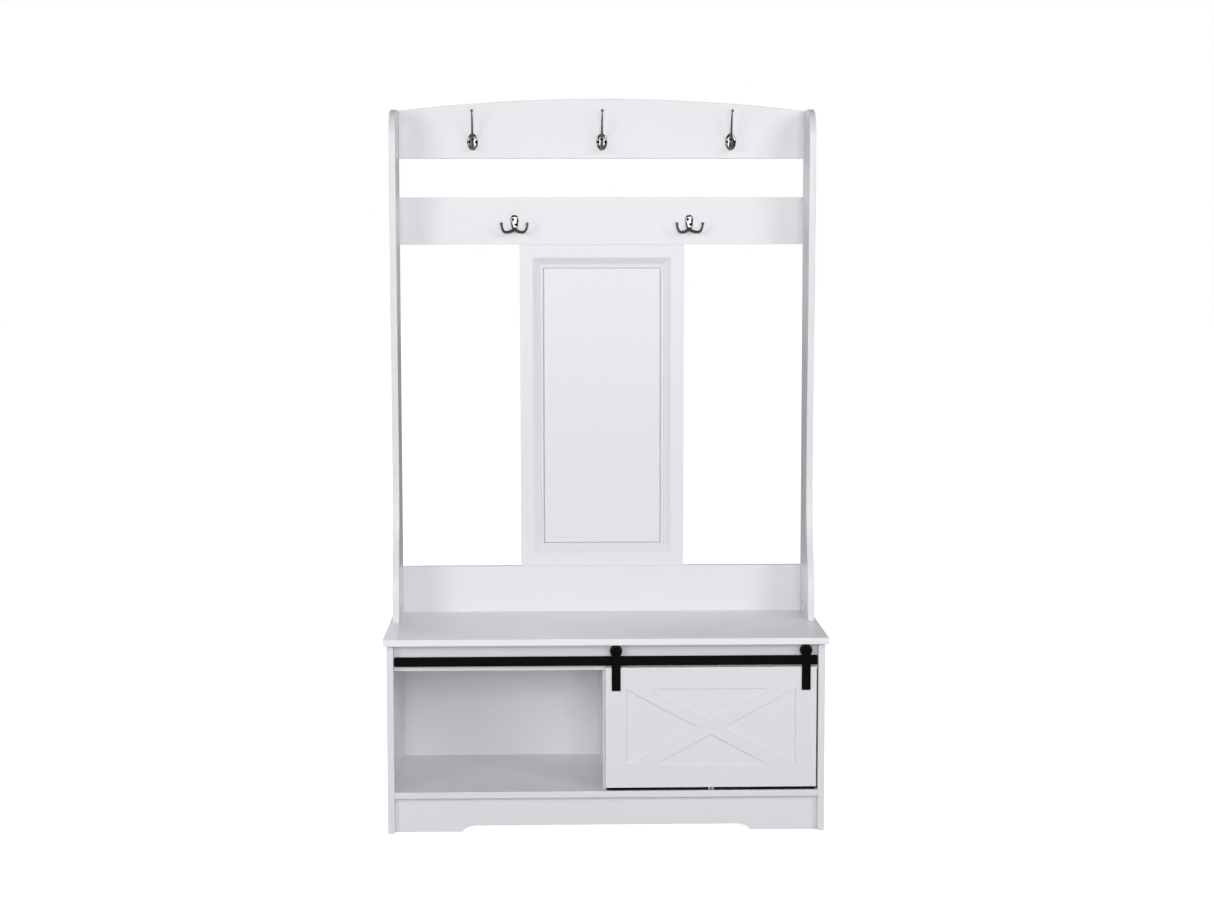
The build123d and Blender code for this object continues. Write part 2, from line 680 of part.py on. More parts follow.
# ---- Double hooks: a tapered plate with two prongs that part sideways ----
y_double = y_rail - double_plate_thick
for side, x in zip(("left", "right"), double_x):
    with BuildPart() as double_hook:
        half_top, half_foot, half_tall = double_plate_top / 2, double_plate_foot / 2, double_plate_height / 2
        shoulder = half_tall - double_plate_shoulder
        with BuildSketch(Plane(origin=(x, y_rail, z_double), x_dir=RIGHT, z_dir=FRONT)) as plate:
            with BuildLine():
                Line((-half_foot, -half_tall), (half_foot, -half_tall))
                Line((half_foot, -half_tall), (half_top, shoulder))
                ThreePointArc((half_top, shoulder), (0, half_tall), (-half_top, shoulder))
                Line((-half_top, shoulder), (-half_foot, -half_tall))
            make_face()
            fillet(plate.vertices(), double_plate_corner)
        extrude(amount=double_plate_thick)
        for dx, dz in double_screws:
            hole = (x + dx, y_double, z_double + dz)
            drill(hole, BACK, hook_screw_radius + seam_relief, double_plate_thick)
        for s in (-1, 1):
            swing = math.radians(double_prong_swing)
            sideways = (s * math.cos(swing), -math.sin(swing), 0)
            across = (-math.sin(swing), -s * math.cos(swing), 0)
            root = (x, y_double + double_prong_root, z_double - double_prong_low)
            plane = Plane(origin=root, x_dir=sideways, z_dir=across)
            with BuildLine(plane) as path:
                FilletPolyline(*double_prong_route, radius=double_prong_bend)
            with BuildSketch(path.line ^ 0):
                Circle(double_prong_radius)
            sweep(path=path.line)
            with Locations(plane.from_local_coords(Vector(*double_prong_route[-1], 0))):
                Sphere(double_ball_radius)
    finish(double_hook, f"double_hook_{side}")

with BuildPart() as hook_screws:
    for x in coat_x:
        for dx in (-coat_screw_pitch / 2, coat_screw_pitch / 2):
            dome_screw((x + dx, y_coat, z_coat), coat_plate_thick + hook_screw_bite)
    for x in double_x:
        for dx, dz in double_screws:
            dome_screw((x + dx, y_double, z_double + dz), double_plate_thick + hook_screw_bite)
finish(hook_screws, "hook_screws")
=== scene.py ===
import json
import math

import bpy
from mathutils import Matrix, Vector

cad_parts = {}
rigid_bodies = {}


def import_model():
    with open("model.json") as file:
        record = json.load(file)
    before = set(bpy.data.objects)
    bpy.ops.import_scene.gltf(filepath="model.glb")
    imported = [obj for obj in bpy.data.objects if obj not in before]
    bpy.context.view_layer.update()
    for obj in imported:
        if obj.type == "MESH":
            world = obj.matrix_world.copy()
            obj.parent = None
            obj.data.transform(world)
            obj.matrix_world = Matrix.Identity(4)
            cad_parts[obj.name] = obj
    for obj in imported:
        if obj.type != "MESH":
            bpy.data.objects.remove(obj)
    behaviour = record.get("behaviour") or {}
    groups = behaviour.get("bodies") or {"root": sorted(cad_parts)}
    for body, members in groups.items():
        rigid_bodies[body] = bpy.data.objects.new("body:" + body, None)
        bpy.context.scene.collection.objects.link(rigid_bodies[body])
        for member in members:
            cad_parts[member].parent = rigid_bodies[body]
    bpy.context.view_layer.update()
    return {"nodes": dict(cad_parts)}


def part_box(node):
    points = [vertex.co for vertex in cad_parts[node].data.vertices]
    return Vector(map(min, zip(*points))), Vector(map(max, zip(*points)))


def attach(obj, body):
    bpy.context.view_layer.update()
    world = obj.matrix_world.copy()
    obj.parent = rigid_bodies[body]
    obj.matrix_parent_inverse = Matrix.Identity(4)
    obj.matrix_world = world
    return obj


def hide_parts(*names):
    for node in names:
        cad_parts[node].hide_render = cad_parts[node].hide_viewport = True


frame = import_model()

# ---- Camera ----
# A long lens at standing height, in front of the bench and a little to its left, as furniture is shown in a
# catalogue. It looks slightly down and is turned a touch to the right.
camera_place = (-0.1274, -5.0758, 1.3284)
camera_pitch, camera_yaw, camera_roll = 5.5, 1.52, 0.07
bpy.ops.object.camera_add(location=camera_place)
camera = bpy.context.object
camera.name = "camera"
camera.rotation_mode = "XYZ"
camera.rotation_euler = (
    math.radians(90 - camera_pitch),
    math.radians(camera_roll),
    math.radians(-camera_yaw),
)
camera.data.lens = 65.56
camera.data.sensor_width = 36
camera.data.clip_start = 0.1
camera.data.clip_end = 60
bpy.context.scene.camera = camera


# ---- Floor and light ----
# A plain pale studio: one seamless white floor, a pale surround and four soft boxes. The key is above on the
# right, one stands straight in front, one fills in from the left, and a weak one lights the back.
class Wire:
    """A socket of the material being made. Sums are written on it as they are on a number."""

    def __init__(self, tree, socket=None):
        self.tree, self.socket = tree, socket

    def node(self, kind, settings=None, inputs=None, output=0):
        """Adds any node: its type, then its settings, then the values or links of its sockets."""
        made = self.tree.nodes.new(kind)
        for name, value in (settings or {}).items():
            if name == "stops":
                ramp = made.color_ramp
                while len(ramp.elements) < len(value):
                    ramp.elements.new(0.5)
                for element, (place, shade) in zip(ramp.elements, value):
                    element.position = place
                    element.color = (*shade, 1) if len(shade) == 3 else shade
            else:
                setattr(made, name, value)
        for name, value in (inputs or {}).items():
            if isinstance(value, Wire):
                self.tree.links.new(value.socket, made.inputs[name])
            else:
                made.inputs[name].default_value = value
        return Wire(self.tree, made.outputs[output] if made.outputs else None)

    def sum(self, operation, first, second):
        return self.node("ShaderNodeMath", {"operation": operation}, {0: first, 1: second})

    def __add__(self, other):
        return self.sum("ADD", self, other)

    __radd__ = __add__

    def __sub__(self, other):
        return self.sum("SUBTRACT", self, other)

    def __rsub__(self, other):
        return self.sum("SUBTRACT", other, self)

    def __mul__(self, other):
        return self.sum("MULTIPLY", self, other)

    __rmul__ = __mul__

    def __truediv__(self, other):
        return self.sum("DIVIDE", self, other)

    def __gt__(self, other):
        return self.sum("GREATER_THAN", self, other)

    def __lt__(self, other):
        return self.sum("LESS_THAN", self, other)


def new_shader(name):
    """A material with nothing in it, and a wire to build it with."""
    made = bpy.data.materials.new(name)
    made.use_nodes = True
    made.node_tree.nodes.clear()
    return made, Wire(made.node_tree)


def close_shader(wire, surface):
    """Ends a material with its surface."""
    wire.node("ShaderNodeOutputMaterial", None, {"Surface": surface})


floor_size, floor_tone, floor_drift, floor_glow = 60.0, 0.45, 0.995, 1.0
bpy.ops.mesh.primitive_plane_add(size=floor_size, location=(0, 0, 0))
floor = bpy.context.object
floor.name = "floor"
paint, wire = new_shader("floor_white")
speckle = wire.node("ShaderNodeTexNoise", None, {"Scale": 0.6, "Detail": 2.0})
tone = wire.node("ShaderNodeMix", {"data_type": "RGBA"}, {
    0: speckle,
    6: (floor_tone, floor_tone, floor_tone, 1),
    7: (floor_tone * floor_drift, floor_tone * floor_drift, floor_tone, 1),
}, 2)
seen_straight = wire.node("ShaderNodeLightPath", None, None, "Is Camera Ray")
matte = wire.node("ShaderNodeBsdfDiffuse", None, {"Color": tone})
shine = wire.node("ShaderNodeEmission", None, {
    "Color": (1, 1, 1, 1),
    "Strength": seen_straight * floor_glow,
})
close_shader(wire, wire.node("ShaderNodeAddShader", None, {0: matte, 1: shine}))
floor.data.materials.append(paint)

surround = bpy.data.worlds.new("white_surround")
bpy.context.scene.world = surround
surround.use_nodes = True
surround.node_tree.nodes.clear()
sky = Wire(surround.node_tree)
seen = (1.0, 1.0, 1.0, 1)
room_dim, room_bright = (0.17, 0.171, 0.176, 1), (0.5, 0.502, 0.512, 1)
room_slope, room_middle = 0.7, 0.3
towards = sky.node("ShaderNodeTexCoord", None, None, "Generated")
away = sky.node("ShaderNodeSeparateXYZ", None, {0: towards}, "Y")
rise = sky.node("ShaderNodeSeparateXYZ", None, {0: towards}, "Z")
share = sky.node("ShaderNodeMath", {"operation": "MULTIPLY_ADD", "use_clamp": True}, {
    0: away - rise,
    1: room_slope,
    2: room_middle,
})
room = sky.node("ShaderNodeMix", {"data_type": "RGBA"}, {0: share, 6: room_dim, 7: room_bright}, 2)
direct = sky.node("ShaderNodeLightPath", None, None, "Is Camera Ray")
colour = sky.node("ShaderNodeMix", {"data_type": "RGBA"}, {0: direct, 6: room, 7: seen}, 2)
glow = sky.node("ShaderNodeBackground", None, {"Color": colour, "Strength": 1.0})
sky.node("ShaderNodeOutputWorld", None, {"Surface": glow})


def soft_box(name, place, aim, size, watts):
    """A rectangular softbox at a place, aimed at a point."""
    bpy.ops.object.light_add(type="AREA", location=place)
    light = bpy.context.object
    light.name = name
    light.data.shape = "RECTANGLE"
    light.data.size, light.data.size_y = size
    light.data.energy = watts
    light.rotation_mode = "QUATERNION"
    light.rotation_quaternion = (Vector(aim) - Vector(place)).to_track_quat("-Z", "Y")


soft_box("key_box", (3.6, -4.2, 3.0), (0.0, 0.0, 0.3), (2.2, 2.2), 92)
soft_box("front_box", (0.2, -5.2, 1.5), (0.0, 0.0, 0.2), (2.4, 1.8), 88)
soft_box("fill_box", (-3.4, -4.2, 1.9), (0.0, 0.0, 0.4), (2.0, 2.0), 76)
soft_box("rear_box", (-1.6, 3.2, 2.4), (0.0, 0.0, 0.9), (2.0, 2.0), 35)
bpy.context.scene.view_settings.view_transform = "Standard"


# ---- Boards ----
# Every board is 15 mm fibreboard with a white satin laminate on both faces and a matching edge band, so each
# edge is rounded by about a millimetre. The shapes and the holes for the fittings are the joiner's own.
MM = 0.001


def lone_copy(node):
    """A copy of a made part on its own, merged into one clean skin, left in edit mode with edges chosen."""
    weld = 0.002 * MM
    bpy.ops.object.select_all(action="DESELECT")
    source = frame["nodes"][node]
    source.select_set(True)
    bpy.context.view_layer.objects.active = source
    bpy.ops.object.duplicate()
    piece = bpy.context.object
    bpy.ops.object.parent_clear(type="CLEAR_KEEP_TRANSFORM")
    piece.name = node + "_finished"
    piece.data.materials.clear()
    bpy.ops.object.mode_set(mode="EDIT")
    bpy.ops.mesh.select_mode(type="EDGE")
    bpy.ops.mesh.select_all(action="SELECT")
    bpy.ops.mesh.remove_doubles(threshold=weld)
    bpy.ops.mesh.customdata_custom_splitnormals_clear()
    return piece


def smooth_shade(piece, angle=35):
    """Smooth shading that keeps flat faces flat and leaves edges above an angle sharp."""
    bpy.ops.object.shade_smooth_by_angle(angle=math.radians(angle))
    weighted = piece.modifiers.new("weighted", "WEIGHTED_NORMAL")
    weighted.keep_sharp = True
    bpy.ops.object.modifier_apply(modifier=weighted.name)


def eased_copy(node, ease, shortest, segments=3, angle=30):
    """A copy of a made part with every sharp edge longer than `shortest` rounded by `ease`."""
    piece = lone_copy(node)
    flat = math.radians(0.3)
    bpy.ops.mesh.dissolve_limited(angle_limit=flat)
    bpy.ops.mesh.select_all(action="DESELECT")
    bpy.ops.mesh.edges_select_sharp(sharpness=math.radians(angle))
    bpy.ops.object.mode_set(mode="OBJECT")
    corners = piece.data.vertices
    for edge in piece.data.edges:
        a, b = (corners[i].co for i in edge.vertices)
        if edge.select and (a - b).length < shortest:
            edge.select = False
    bpy.ops.object.mode_set(mode="EDIT")
    bpy.ops.mesh.bevel(offset=ease, segments=segments, profile=0.5, affect="EDGES", clamp_overlap=False)
    bpy.ops.object.mode_set(mode="OBJECT")
    smooth_shade(piece)
    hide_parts(node)
    return piece


def dress(piece, paint, body):
    """Gives a piece its material and the body that it rides on."""
    piece.data.materials.clear()
    piece.data.materials.append(paint)
    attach(piece, body)


def laminate(name, tint, gloss, pebble):
    """White satin laminate: almost even in tone, with a very fine pebble and slightly uneven sheen."""
    paint, wire = new_shader(name)
    place = wire.node("ShaderNodeTexCoord", None, None, "Object")
    cloud = wire.node("ShaderNodeTexNoise", None, {
        "Vector": place,
        "Scale": 2.4,
        "Detail": 3.0,
        "Roughness": 0.6,
    })
    grain = wire.node("ShaderNodeTexNoise", None, {"Vector": place, "Scale": 1400.0, "Detail": 2.0})
    smear = wire.node("ShaderNodeTexNoise", None, {
        "Vector": place,
        "Scale": 14.0,
        "Detail": 5.0,
        "Roughness": 0.7,
    })
    cloud_dip, polish, smear_share, cloud_share = 0.982, 0.05, 0.07, 0.03
    low = tuple(v * cloud_dip for v in tint)
    tone = wire.node("ShaderNodeMix", {"data_type": "RGBA"}, {0: cloud, 6: (*low, 1), 7: (*tint, 1)}, 2)
    sheen = gloss - polish + smear * smear_share + cloud * cloud_share
    bump = wire.node("ShaderNodeBump", None, {"Strength": pebble, "Distance": 0.00008, "Height": grain})
    close_shader(wire, wire.node("ShaderNodeBsdfPrincipled", None, {
        "Base Color": tone,
        "Roughness": sheen,
        "Normal": bump,
        "IOR": 1.48,
    }))
    return paint


# The bench top gets a lighter, glossier copy of the white laminate: painted light that stands in for the
# light falling on its top.
board_tint, lit_top_tint = (0.82, 0.82, 0.85), (0.92, 0.92, 0.948)
board_ease, board_shortest = 1.1 * MM, 2.6 * MM
boards = ["bench_top", "cabinet_side_left", "cabinet_side_right", "divider", "bottom_shelf", "header"]
boards += ["skirt_board", "rear_rail", "upper_side_left", "upper_side_right", "apron_rail", "hook_rail"]
boards += ["crest_rail"]
white_laminate = laminate("white_laminate", board_tint, gloss=0.3, pebble=0.3)
lit_top_laminate = laminate("lit_top_laminate", lit_top_tint, gloss=0.34, pebble=0.2)
for node in boards:
    # The bench top takes the lighter copy, which is painted light on its top.
    paint = lit_top_laminate if node == "bench_top" else white_laminate
    dress(eased_copy(node, board_ease, board_shortest), paint, "frame")

# ---- Centre panel ----
# One board routed on its face: a sloped border, a small bead between two narrow channels, and the field left
# standing. The laminate is drawn down into the routing, so its long edges are soft.
panel_ease, panel_shortest, panel_angle = 0.8 * MM, 30 * MM, 10
panel = eased_copy("centre_panel", panel_ease, panel_shortest, angle=panel_angle)
dress(panel, white_laminate, "frame")

# ---- Back panel of the cabinet ----
# 3 mm hardboard, white paper on the side that shows and bare brown on the side to the wall. It slides into
# the grooves of the cabinet sides and is nailed to the shelf and the divider.
paper_thick, back_ease = 0.4 * MM, 0.3 * MM
paper_low, paper_high = (0.8, 0.8, 0.83, 1), (0.82, 0.82, 0.85, 1)
brown_low, brown_high = (0.16, 0.095, 0.052, 1), (0.36, 0.235, 0.14, 1)
hardboard, wire = new_shader("papered_hardboard")
place = wire.node("ShaderNodeTexCoord", None, None, "Object")
depth = wire.node("ShaderNodeSeparateXYZ", None, {0: place}, "Y")
back_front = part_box("cabinet_back")[0][1]
bare = depth > (back_front + paper_thick)
stretched = wire.node("ShaderNodeMapping", None, {"Vector": place, "Scale": (1.0, 1.0, 0.35)})
fibre = wire.node("ShaderNodeTexNoise", None, {
    "Vector": stretched,
    "Scale": 620.0,
    "Detail": 6.0,
    "Roughness": 0.7,
})
fleck = wire.node("ShaderNodeTexNoise", None, {
    "Vector": place,
    "Scale": 90.0,
    "Detail": 4.0,
    "Roughness": 0.65,
})
brown = wire.node("ShaderNodeMix", {"data_type": "RGBA"}, {
    0: fibre * 0.6 + fleck * 0.4,
    6: brown_low,
    7: brown_high,
}, 2)
paper = wire.node("ShaderNodeMix", {"data_type": "RGBA"}, {0: fleck, 6: paper_low, 7: paper_high}, 2)
fuzz = wire.node("ShaderNodeBump", None, {"Strength": 0.3, "Distance": 0.0001, "Height": fibre * bare})
close_shader(wire, wire.node("ShaderNodeBsdfPrincipled", None, {
    "Base Color": wire.node("ShaderNodeMix", {"data_type": "RGBA"}, {0: bare, 6: paper, 7: brown}, 2),
    "Roughness": bare * 0.38 + fleck * 0.06 + 0.42,
    "Normal": fuzz,
}))
dress(eased_copy("cabinet_back", back_ease, board_shortest), hardboard, "frame")

# ---- Door ----
# One 15 mm board faced with a frame and a cross that stand 3.5 mm above four sunk triangles, all under one
# satin white skin. The edges of the triangles are only just rounded.
door_tint, door_ease = (0.82, 0.82, 0.85), 0.6 * MM
white_skin = laminate("white_door_skin", door_tint, gloss=0.4, pebble=0.3)
dress(eased_copy("door_panel", door_ease, board_shortest), white_skin, "door")


# ---- Dowels ----
# Fluted beech pins, 8 mm thick and 30 mm long, glued into the boards at every joint. Each has chamfered ends
# so that it starts easily, and flutes that let the glue spread.
def loose_boxes(node):
    """The low and high corners of every separate solid of a made part."""
    lone_copy(node)
    bpy.ops.mesh.separate(type="LOOSE")
    bpy.ops.object.mode_set(mode="OBJECT")
    boxes = []
    for solid in bpy.context.selected_objects:
        corners = [solid.matrix_world @ Vector(corner) for corner in solid.bound_box]
        low = Vector([min(c[i] for c in corners) for i in range(3)])
        high = Vector([max(c[i] for c in corners) for i in range(3)])
        boxes.append((low, high))
    bpy.ops.object.delete()
    return sorted(boxes, key=lambda box: tuple(round(v, 5) for v in box[0]))


def select_faces(piece, wanted):
    """Selects, in edit mode, the faces whose middle and normal pass a test."""
    bpy.ops.object.mode_set(mode="EDIT")
    bpy.ops.mesh.select_mode(type="FACE")
    bpy.ops.mesh.select_all(action="DESELECT")
    bpy.ops.object.mode_set(mode="OBJECT")
    for face in piece.data.polygons:
        face.select = wanted(face.center, face.normal)
    bpy.ops.object.mode_set(mode="EDIT")


def spread(pattern, name, places):
    """Copies a piece made on the Z axis to each (point, direction), then joins the copies into one."""
    copies = []
    for point, direction in places:
        bpy.ops.object.select_all(action="DESELECT")
        pattern.select_set(True)
        bpy.context.view_layer.objects.active = pattern
        bpy.ops.object.duplicate()
        twin = bpy.context.object
        twin.rotation_mode = "QUATERNION"
        twin.rotation_quaternion = Vector(direction).to_track_quat("Z", "Y")
        twin.location = point
        copies.append(twin)
    bpy.ops.object.select_all(action="DESELECT")
    pattern.select_set(True)
    bpy.context.view_layer.objects.active = pattern
    bpy.ops.object.delete()
    for twin in copies:
        twin.select_set(True)
    bpy.context.view_layer.objects.active = copies[0]
    bpy.ops.object.transform_apply(location=True, rotation=True, scale=True)
    if len(copies) > 1:
        bpy.ops.object.join()
    made = bpy.context.object
    made.name = name
    return made


def long_axis(low, high):
    """The number of the longest axis of a box, and the way along it."""
    size = high - low
    axis = max(range(3), key=lambda i: size[i])
    return axis, Vector([1.0 if i == axis else 0.0 for i in range(3)])


beech, wire = new_shader("beech")
place = wire.node("ShaderNodeTexCoord", None, None, "Object")
rays = wire.node("ShaderNodeTexNoise", None, {"Vector": place, "Scale": 900.0, "Detail": 3.0})
bands = wire.node("ShaderNodeTexWave", None, {
    "Vector": place,
    "Scale": 160.0,
    "Distortion": 3.0,
    "Detail": 2.0,
})
close_shader(wire, wire.node("ShaderNodeBsdfPrincipled", None, {
    "Base Color": wire.node("ShaderNodeMix", {"data_type": "RGBA"}, {
        0: rays * 0.5 + bands * 0.5,
        6: (0.5, 0.33, 0.19, 1),
        7: (0.68, 0.49, 0.31, 1),
    }, 2),
    "Roughness": rays * 0.15 + 0.6,
}))
dowel_boxes = loose_boxes("wood_dowels")
dowel_length = max(dowel_boxes[0][1] - dowel_boxes[0][0])
dowel_radius, flute, dowel_chamfer = 4 * MM, 0.35 * MM, 0.8 * MM
dowel_sides, square_on = 24, 0.9
bpy.ops.object.select_all(action="DESELECT")
bpy.ops.mesh.primitive_cylinder_add(vertices=dowel_sides, radius=dowel_radius, depth=dowel_length)
dowel = bpy.context.object
select_faces(dowel, lambda middle, normal: abs(normal.z) > square_on)
bpy.ops.mesh.inset(thickness=dowel_chamfer, depth=0)
bpy.ops.object.mode_set(mode="OBJECT")
rim = dowel_radius - dowel_chamfer / 2
for corner in dowel.data.vertices:
    spoke = Vector((corner.co.x, corner.co.y, 0))
    end = math.copysign(1, corner.co.z)
    if spoke.length > rim:
        corner.co.z -= end * dowel_chamfer
        turn_number = round(math.degrees(math.atan2(spoke.y, spoke.x)) * dowel_sides / 360)
        if turn_number % 2:
            corner.co -= spoke.normalized() * flute
dowel_places = [((low + high) / 2, long_axis(low, high)[1]) for low, high in dowel_boxes]
dowels = spread(dowel, "wood_dowels_finished", dowel_places)
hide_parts("wood_dowels")
dress(dowels, beech, "frame")


# ---- Cam locks ----
# Die-cast drums, 15 mm across, pressed into the hidden face of one board. A quarter turn of the cross slot
# pulls in the head of the bolt that comes through the board's edge.
def cut_away(piece, tool):
    """Takes the shape of a tool out of a piece, and removes the tool."""
    bpy.ops.object.select_all(action="DESELECT")
    piece.select_set(True)
    bpy.context.view_layer.objects.active = piece
    cut = piece.modifiers.new("cut", "BOOLEAN")
    cut.object, cut.operation, cut.solver = tool, "DIFFERENCE", "EXACT"
    bpy.ops.object.modifier_apply(modifier=cut.name)
    bpy.data.objects.remove(tool)


def cross_tool(width, length, deep, top):
    """A cutter for a cross recess: two crossed bars that narrow to the bottom, open at a height `top`."""
    narrowing = 0.7
    bars = []
    for size in ((length, width), (width, length)):
        bpy.ops.object.select_all(action="DESELECT")
        bpy.ops.mesh.primitive_cube_add(size=1)
        bar = bpy.context.object
        bar.scale = (size[0], size[1], deep * 2)
        bar.location = (0, 0, top)
        bpy.ops.object.transform_apply(location=True, rotation=True, scale=True)
        select_faces(bar, lambda middle, normal: normal.z < -square_on)
        bpy.ops.transform.resize(value=(narrowing, narrowing, 1))
        bpy.ops.object.mode_set(mode="OBJECT")
        bars.append(bar)
    first, second = bars
    bpy.context.view_layer.objects.active = first
    both = first.modifiers.new("both", "BOOLEAN")
    both.object, both.operation, both.solver = second, "UNION", "EXACT"
    bpy.ops.object.select_all(action="DESELECT")
    first.select_set(True)
    bpy.ops.object.modifier_apply(modifier=both.name)
    bpy.data.objects.remove(second)
    return first


def metal(name, dark, light, gloss, scratch, speckle_scale=260.0):
    """Bare or plated metal: cloudy colour, fine scratches and slightly uneven gloss."""
    paint, wire = new_shader(name)
    place = wire.node("ShaderNodeTexCoord", None, None, "Object")
    cloud = wire.node("ShaderNodeTexNoise", None, {"Vector": place, "Scale": speckle_scale, "Detail": 4.0})
    drawn = wire.node("ShaderNodeMapping", None, {"Vector": place, "Scale": (1.0, 1.0, 9.0)})
    hair = wire.node("ShaderNodeTexNoise", None, {"Vector": drawn, "Scale": 1600.0, "Detail": 3.0})
    bump = wire.node("ShaderNodeBump", None, {"Strength": scratch, "Distance": 0.00004, "Height": hair})
    cloud_share, hair_share, polish = 0.08, 0.06, 0.07
    close_shader(wire, wire.node("ShaderNodeBsdfPrincipled", None, {
        "Base Color": wire.node("ShaderNodeMix", {"data_type": "RGBA"}, {
            0: cloud,
            6: (*dark, 1),
            7: (*light, 1),
        }, 2),
        "Metallic": 1.0,
        "Roughness": gloss + cloud * cloud_share + hair * hair_share - polish,
        "Normal": bump,
    }))
    return paint


zinc_low, zinc_high = (0.5, 0.51, 0.53), (0.68, 0.69, 0.7)
zinc = metal("zinc", zinc_low, zinc_high, gloss=0.38, scratch=0.3)
cam_boxes = loose_boxes("cam_locks")
cam_low, cam_high = cam_boxes[0]
cam_thick = min(cam_high - cam_low)
cam_radius, cam_middle = 7.4 * MM, (0, 0, -cam_thick / 2)
rim_to_boss = ((0.7, 0), (0.3, -0.5), (2.0, 0), (0.3, 0.4))
tunnel_radius, tunnel_length, tunnel_deep = 4.0 * MM, 16 * MM, 7.5 * MM
tunnel_middle = (0, -tunnel_length / 2, -tunnel_deep)
bpy.ops.object.select_all(action="DESELECT")
bpy.ops.mesh.primitive_cylinder_add(vertices=40, radius=cam_radius, depth=cam_thick, location=cam_middle)
cam = bpy.context.object
bpy.ops.object.transform_apply(location=True, rotation=True, scale=True)
select_faces(cam, lambda middle, normal: normal.z > square_on)
for inward, upward in rim_to_boss:
    bpy.ops.mesh.inset(thickness=inward * MM, depth=upward * MM)
bpy.ops.object.mode_set(mode="OBJECT")
cut_away(cam, cross_tool(width=1.5 * MM, length=6.6 * MM, deep=3.2 * MM, top=-0.1 * MM))
bpy.ops.object.select_all(action="DESELECT")
bpy.ops.mesh.primitive_cylinder_add(
    vertices=32,
    radius=tunnel_radius,
    depth=tunnel_length,
    location=tunnel_middle,
)
tunnel = bpy.context.object
tunnel.rotation_euler = (math.radians(90), 0, 0)
cut_away(cam, tunnel)
smooth_shade(cam, 30)


def mouth_of(low, high):
    """The middle of a cam's open face, and the way that the face looks, from the board that holds it."""
    middle = (low + high) / 2
    axis = min(range(3), key=lambda i: (high - low)[i])
    for board in boards + ["centre_panel"]:
        board_low, board_high = (Vector(corner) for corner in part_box(board))
        if all(board_low[i] - MM < low[i] and high[i] < board_high[i] + MM for i in range(3)):
            sign = math.copysign(1, middle[axis] - (board_low[axis] + board_high[axis]) / 2)
            way = Vector([sign if i == axis else 0.0 for i in range(3)])
            return middle + way * cam_thick / 2, way


cams = spread(cam, "cam_locks_finished", [mouth_of(*box) for box in cam_boxes])
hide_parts("cam_locks")
dress(cams, zinc, "frame")


# ---- Cam bolts ----
# Turned zinc-plated bolts. A coarse thread bites into one board's face, a plain shank crosses the seam, and
# the necked head is caught by the cam.
def turned(name, outline, steps=20):
    """A solid turned on the Z axis from its (radius, height) points. A ring's last point is its first."""
    weld = 0.005 * MM
    bpy.ops.object.select_all(action="DESELECT")
    bpy.ops.mesh.primitive_plane_add(size=MM)
    piece = bpy.context.object
    piece.name = name
    bpy.ops.object.mode_set(mode="EDIT")
    bpy.ops.mesh.select_mode(type="VERT")
    bpy.ops.mesh.select_all(action="SELECT")
    bpy.ops.mesh.merge(type="CENTER")
    radius, height = outline[0]
    bpy.ops.transform.translate(value=(radius, 0, height))
    for next_radius, next_height in outline[1:]:
        step = (next_radius - radius, 0, next_height - height)
        bpy.ops.mesh.extrude_region_move(TRANSFORM_OT_translate={"value": step})
        radius, height = next_radius, next_height
    bpy.ops.mesh.select_all(action="SELECT")
    bpy.ops.mesh.spin(steps=steps, angle=math.radians(360), center=(0, 0, 0), axis=(0, 0, 1))
    bpy.ops.mesh.select_all(action="SELECT")
    bpy.ops.mesh.remove_doubles(threshold=weld)
    bpy.ops.mesh.normals_make_consistent(inside=False)
    bpy.ops.object.mode_set(mode="OBJECT")
    return piece


def thread(low, high, core, crest, pitch):
    """Outline points of a thread between two heights, drawn as ridges."""
    count = max(1, int((high - low) / pitch))
    step = (high - low) / count
    points = []
    for i in range(count):
        points += [(core, low + i * step), (crest, low + (i + 0.5) * step)]
    return points + [(core, high)]


bolt_boxes = loose_boxes("cam_bolts")
bolt_bite, bolt_reach, bolt_end = 11 * MM, 21 * MM, 24 * MM
bolt_collar, bolt_waist, bolt_neck = 3.0 * MM, 2.4 * MM, 1.7 * MM
bolt = turned("cam_bolt", [
    (0, -bolt_bite),
    *thread(-bolt_bite, -0.6 * MM, core=1.8 * MM, crest=2.5 * MM, pitch=1.3 * MM),
    (bolt_collar, 0),
    (bolt_collar, 9 * MM),
    (bolt_waist, 10 * MM),
    (bolt_waist, 15 * MM),
    (bolt_collar, 16 * MM),
    (bolt_collar, 19 * MM),
    (bolt_neck, 19.4 * MM),
    (bolt_neck, bolt_reach),
    (3.2 * MM, bolt_reach + 0.5 * MM),
    (3.6 * MM, bolt_reach + 1.4 * MM),
    (3.2 * MM, bolt_reach + 2.5 * MM),
    (1.6 * MM, bolt_end),
    (0, bolt_end),
], 16)
smooth_shade(bolt, 40)
cam_middles = [(low + high) / 2 for low, high in cam_boxes]
bolt_places = []
for low, high in bolt_boxes:
    axis, way = long_axis(low, high)
    middle, half = (low + high) / 2, (high - low)[axis] / 2
    ends = [middle + way * half, middle - way * half]
    head = min(ends, key=lambda end: min((end - cam_middle).length for cam_middle in cam_middles))
    way = (head - middle).normalized()
    bolt_places.append((head - way * bolt_end, way))
bolts = spread(bolt, "cam_bolts_finished", bolt_places)
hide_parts("cam_bolts")
dress(bolts, zinc, "frame")

